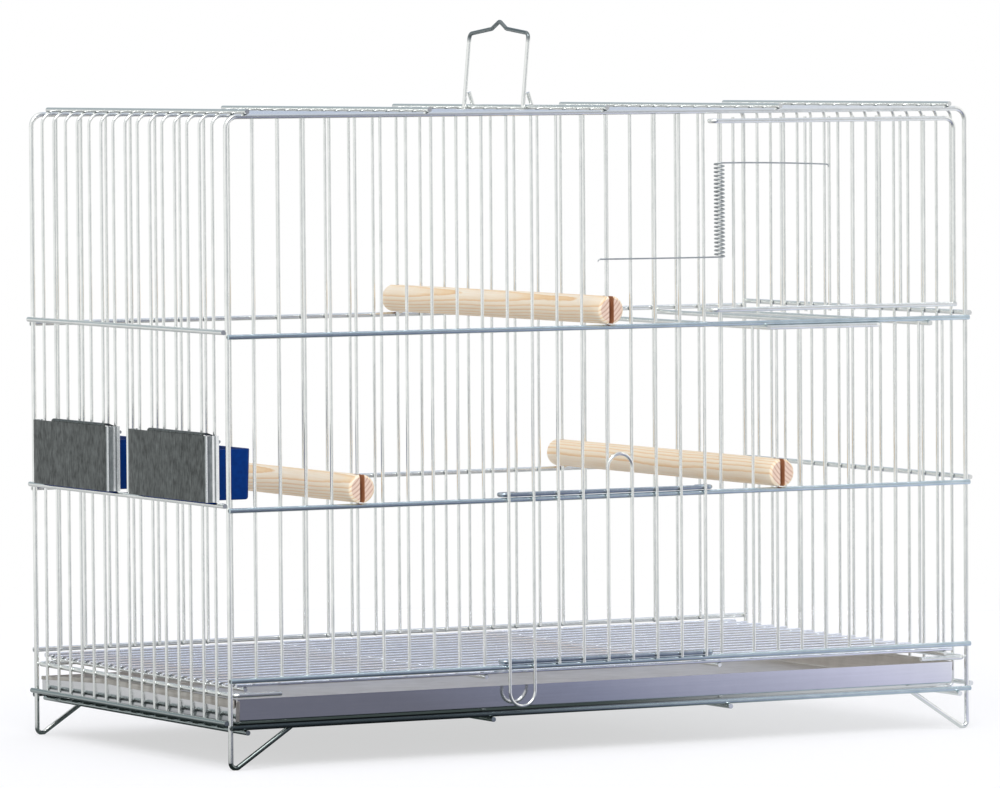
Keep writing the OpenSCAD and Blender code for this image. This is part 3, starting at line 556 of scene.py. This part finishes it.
def folded_plate(side):
    """Front plate of a feeder: the face, a flange folded back and joggled at each side, and a tab rolled back on
    top."""
    low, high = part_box(side + "_feeder_plate")
    metal, bend, lip, joggle = 0.6 * MM, 1.3 * MM, 0.6 * MM, 0.5 * MM
    bm = bmesh.new()
    flange_y, middle_y = high.y - joggle, (low.y + high.y) / 2
    # From the lip of one flange over its joggle to the face, and the same mirrored
    half = [(high.x, high.y + lip), (high.x - 1.6 * MM, high.y), (high.x - 2.6 * MM, high.y),
            (high.x - 3.6 * MM, flange_y), (low.x, flange_y)]
    mirrored = [(x, low.y + high.y - y) for x, y in reversed(half)]
    corners = [bm.verts.new((x, y, low.z)) for x, y in half + mirrored]
    for pair in zip(corners, corners[1:]):
        bm.edges.new(pair)
    # Only the face is wide enough to need more places at which it can buckle
    across_face = [e for e in bm.edges if e.calc_length() > 50 * MM]
    bmesh.ops.subdivide_edges(bm, edges=across_face, cuts=11)
    edges, rows = list(bm.edges), 5
    for _ in range(rows):
        edges = pull_out(bm, edges, (0, 0, (high.z - low.z) / rows))
    round_off(bm, folds(bm), bend, 4)
    # A sheared plate is never quite flat
    buckle = 0.12 * MM
    for v in bm.verts:
        if v.co.x < low.x + 0.1 * MM:
            v.co.x += buckle * (1 + math.sin((v.co.y - low.y) * 70 + v.co.z * 45))
    thicken(bm, metal)
    # The tab starts behind the face, rises over its edge and slopes down behind; it sits off the middle
    tab_width, tab_middle, steps = 71 * MM, middle_y - 9.5 * MM, 8
    rolled = [(low.x + back * MM, high.z + up * MM)
              for back, up in ((0.9, -4), (0.9, 0.6), (1.9, 1.5), (3.6, 1.5))]
    rolled.append((high.x - 0.6 * MM, high.z + 0.2 * MM))
    strip = [bm.verts.new((x, tab_middle - tab_width / 2, z)) for x, z in rolled]
    edges = [bm.edges.new(pair) for pair in zip(strip, strip[1:])]
    plate = set(bm.faces)
    for _ in range(steps):
        edges = pull_out(bm, edges, (0, tab_width / steps, 0))
    tab = [f for f in bm.faces if f not in plate]
    bmesh.ops.recalc_face_normals(bm, faces=tab)
    bmesh.ops.solidify(bm, geom=tab, thickness=metal)
    dark, fold_highlight, pale = range(3)
    # The face keeps its dark sheet; the bends take the painted highlight, and the flanges the paler painted
    # reflection
    for face in bm.faces:
        if abs(face.calc_center_median().y - middle_y) <= (high.y - low.y) / 2 - 2.2 * MM:
            face.material_index = dark
        else:
            face.material_index = fold_highlight if 0.15 < abs(face.normal.x) < 0.97 else pale
    piece(side + "_feeder_front", bm, (plate_sheet, fold_highlight_sheet, flange_sheet), side + "_feeder",
          side + "_feeder_plate")


def moulded_tub(side):
    """Seed tub: drafted walls, round corners, a soft foot and a rolled rim, hollow with a flat floor."""
    low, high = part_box(side + "_feeder_tub")
    wall, draft_x, draft_y = 1.6 * MM, 1.2 * MM, 1.6 * MM
    corner_r, foot_r, rim_r = 3 * MM, 1.4 * MM, 0.5 * MM
    size, middle = high - low, (low + high) / 2
    bm = bmesh.new()
    bmesh.ops.create_cube(bm, size=1)
    bmesh.ops.scale(bm, verts=bm.verts, vec=size)
    bmesh.ops.translate(bm, verts=bm.verts, vec=middle)
    foot = [v for v in bm.verts if v.co.z < middle.z]
    bmesh.ops.scale(bm, verts=foot, vec=(1 - draft_x / size.x, 1 - draft_y / size.y, 1),
                    space=Matrix.Translation(-middle))
    upright = [e for e in bm.edges if abs(e.verts[0].co.z - e.verts[1].co.z) > size.z / 2]
    round_off(bm, upright, corner_r, 5)
    under = [e for e in bm.edges if all(v.co.z < low.z + 0.1 * MM for v in e.verts)]
    round_off(bm, under, foot_r, 3)
    bottom = [f for f in bm.faces if f.normal.z > 0.9]
    bmesh.ops.inset_region(bm, faces=bottom, thickness=wall, use_even_offset=True)
    # The inside is sunk in two steps
    for share in (0.7, 0.3):
        bottom = bmesh.ops.extrude_discrete_faces(bm, faces=bottom)["faces"]
        bmesh.ops.translate(bm, verts=bottom[0].verts, vec=(0, 0, -share * (size.z - wall)))
    rim = [e for e in folds(bm) if all(v.co.z > high.z - 0.01 * MM for v in e.verts)]
    round_off(bm, rim, rim_r, 2)
    bmesh.ops.recalc_face_normals(bm, faces=bm.faces)
    piece(side + "_feeder_seed_tub", bm, blue_plastic, side + "_feeder", side + "_feeder_tub")


for side in ("front", "rear"):
    folded_plate(side)
    moulded_tub(side)


# ---- Floor, light and camera ----

def studio_floor():
    """A round white floor that fades into the white background; it takes the cage's shadow."""
    material, tree, skin = new_material("white_studio_floor")
    tree.nodes.remove(skin)
    path = add(tree, "LightPath").outputs
    place = add(tree, "TexCoord").outputs["Object"]
    x, y, _ = components(tree, place)
    # The paint takes the cage's shadow; a glow keeps it near white, and lights what hangs over it a little less
    paint = add(tree, "BsdfDiffuse", {"Color": srgb("#aaaaad")}).outputs["BSDF"]
    glow = add(tree, "Emission", {"Color": srgb("#ffffff"), "Strength": 0.6}).outputs["Emission"]
    bounce = add(tree, "Emission", {"Color": srgb("#ffffff"), "Strength": 0.55}).outputs["Emission"]
    shine = add(tree, "MixShader", {0: path["Is Camera Ray"], 1: bounce, 2: glow}).outputs["Shader"]
    white = add(tree, "AddShader", {0: paint, 1: shine}).outputs["Shader"]
    # Polished metal mirrors a dull floor: slate before the cage and pale to the right, grey to its left and behind
    # it, and dark under its left half, a painted shadow of the cage
    along = add(tree, "MapRange", {"Value": x, "From Min": -0.1, "From Max": 0.5}).outputs["Result"]
    before = colour_ramp(tree, along, (0.05, "#6d6f7d"), (0.25, "#868ba1"), (0.46, "#b1b4ca"), (0.58, "#ced0e7"),
                         (0.8, "#eceffa"), (0.95, "#f6f7fc"))
    beside = larger(tree, ramp_up(tree, x, -0.24, -0.29), ramp_up(tree, y, 0.1, 0.2))
    around = mixed_colour(tree, beside, before, srgb("#c8cacb"))
    # 0 under the cage's middle and 1 just outside it, 0.26 m to the sides and 0.15 m to the front and back
    aside, ahead, _ = components(tree, place, unsigned=True)
    outline = larger(tree, times(tree, aside, 1 / 0.26), times(tree, ahead, 1 / 0.15))
    # A painted shadow of the cage, seen only in metal: dark under its left half, paler to the right
    painted_cage_shadow = mixed_colour(tree, ramp_up(tree, x, 0.0, 0.22), srgb("#414b49"), srgb("#d3d7da"))
    dull = mixed_colour(tree, ramp_up(tree, outline, 1.15, 0.9), around, painted_cage_shadow)
    mirrored = add(tree, "Emission", {"Color": dull}).outputs["Emission"]
    seen = add(tree, "MixShader", {0: seen_in_metal(tree), 1: white, 2: mirrored}).outputs["Shader"]
    # It fades out between these distances from its middle, and ends past them
    fade_from, fade_to, radius = 0.55, 1.3, 1.4
    distance = add(tree, "VectorMath", {0: place}, operation="LENGTH").outputs["Value"]
    clear = add(tree, "BsdfTransparent").outputs["BSDF"]
    fade = ramp_up(tree, distance, fade_from, fade_to)
    faded = add(tree, "MixShader", {0: fade, 1: seen, 2: clear}).outputs["Shader"]
    tree.links.new(faded, tree.nodes["Material Output"].inputs["Surface"])
    bm = bmesh.new()
    bmesh.ops.create_circle(bm, cap_ends=True, segments=96, radius=radius)
    bmesh.ops.translate(bm, verts=bm.verts, vec=(0, 0, -0.2 * MM))
    floor = piece("studio_floor", bm, material, None)


def studio_world():
    """White surroundings. What polished metal mirrors is a white room with softer, darker sides."""
    world = bpy.data.worlds.new("white_studio")
    world.use_nodes = True
    bpy.context.scene.world = world
    tree = world.node_tree
    tree.nodes.clear()
    x, y, z = components(tree, add(tree, "TexCoord").outputs["Generated"])
    # The cage's wires across see x at 0.44 from their left ends and at 0.53 from their right ends
    foot = mixed_colour(tree, ramp_up(tree, x, 0.48, 0.53), srgb("#565f66"), srgb("#d6dce6"))
    right_back = mixed_colour(tree, ramp_up(tree, x, 0.49, 0.53), srgb("#c6d2ef"), srgb("#f3f5fc"))
    back = mixed_colour(tree, ramp_up(tree, x, 0.3, 0.42), srgb("#aeb9be"), right_back)
    zones = (
        # Lavender high up on the right
        (srgb("#c6cfdf"), ((x, 0.1, 0.35), (x, 0.55, 0.49), (z, 0.15, 0.5), (z, 1.0, 0.85))),
        # A dark foot below, pale at its right
        (foot, ((z, -0.12, -0.4),)),
        # Slate blue in front to the right
        (srgb("#5a6075"), ((x, 0.05, 0.25), (x, 0.55, 0.44), (y, 0.3, -0.1), (z, 0.8, 0.3))),
        # A dim strip behind the camera
        (srgb("#b4bcbd"), ((x, -0.28, -0.38), (x, -0.66, -0.56), (y, -0.6, -0.75))),
        # Behind the cage, pale low down
        (srgb("#e6e7e7"), ((y, 0.6, 0.8), (z, 0.2, 0.05), (z, -0.35, -0.2))),
        # and over that grey, then blue, then nearly white from left to right
        (back, ((y, 0.6, 0.8), (z, 0.05, 0.25), (z, 0.75, 0.55))))
    room = srgb("#fdfdfd")
    for colour, ramps in zones:
        room = mixed_colour(tree, times(tree, *(ramp_up(tree, *ramp) for ramp in ramps)), room, colour)
    mirrored = add(tree, "Background", {"Color": room, "Strength": 1.0}).outputs["Background"]
    soft = add(tree, "Background", {"Color": srgb("#f3f5fa"), "Strength": 0.75}).outputs["Background"]
    white = add(tree, "Background", {"Color": srgb("#ffffff"), "Strength": 1.0}).outputs["Background"]
    light = add(tree, "MixShader", {0: seen_in_metal(tree), 1: soft, 2: mirrored}).outputs["Shader"]
    to_camera = add(tree, "LightPath").outputs["Is Camera Ray"]
    shown = add(tree, "MixShader", {0: to_camera, 1: light, 2: white}).outputs["Shader"]
    add(tree, "OutputWorld", {"Surface": shown})


def key_light():
    """One big soft lamp, above and to the left of the camera."""
    lamp = bpy.data.lights.new("soft_key", "SUN")
    lamp.energy = 1.4
    lamp.angle = math.radians(35)
    way_of_light = Vector((0.55, 0.95, -1.25))
    key = in_scene("soft_key", lamp)
    key.rotation_euler = way_of_light.to_track_quat("-Z", "Y").to_euler()


def photo_camera():
    """The photograph's viewpoint, found by fitting the corner posts, rails and roof to the picture."""
    view = bpy.data.cameras.new("photo_view")
    view.lens, view.sensor_width = 266.98, 36.0
    place = (-2.048902, -3.809357, 0.399002)
    yaw, pitch, roll = (math.radians(a) for a in (28.307, 2.6657, -0.4034))
    camera = in_scene("photo_view", view)
    camera.matrix_world = (Matrix.Translation(place) @ Matrix.Rotation(-yaw, 4, "Z")
                           @ Matrix.Rotation(math.pi / 2 - pitch, 4, "X") @ Matrix.Rotation(roll, 4, "Z"))
    bpy.context.scene.camera = camera


studio_floor()
studio_world()
key_light()
photo_camera()
bpy.context.scene.view_settings.view_transform = "Standard"
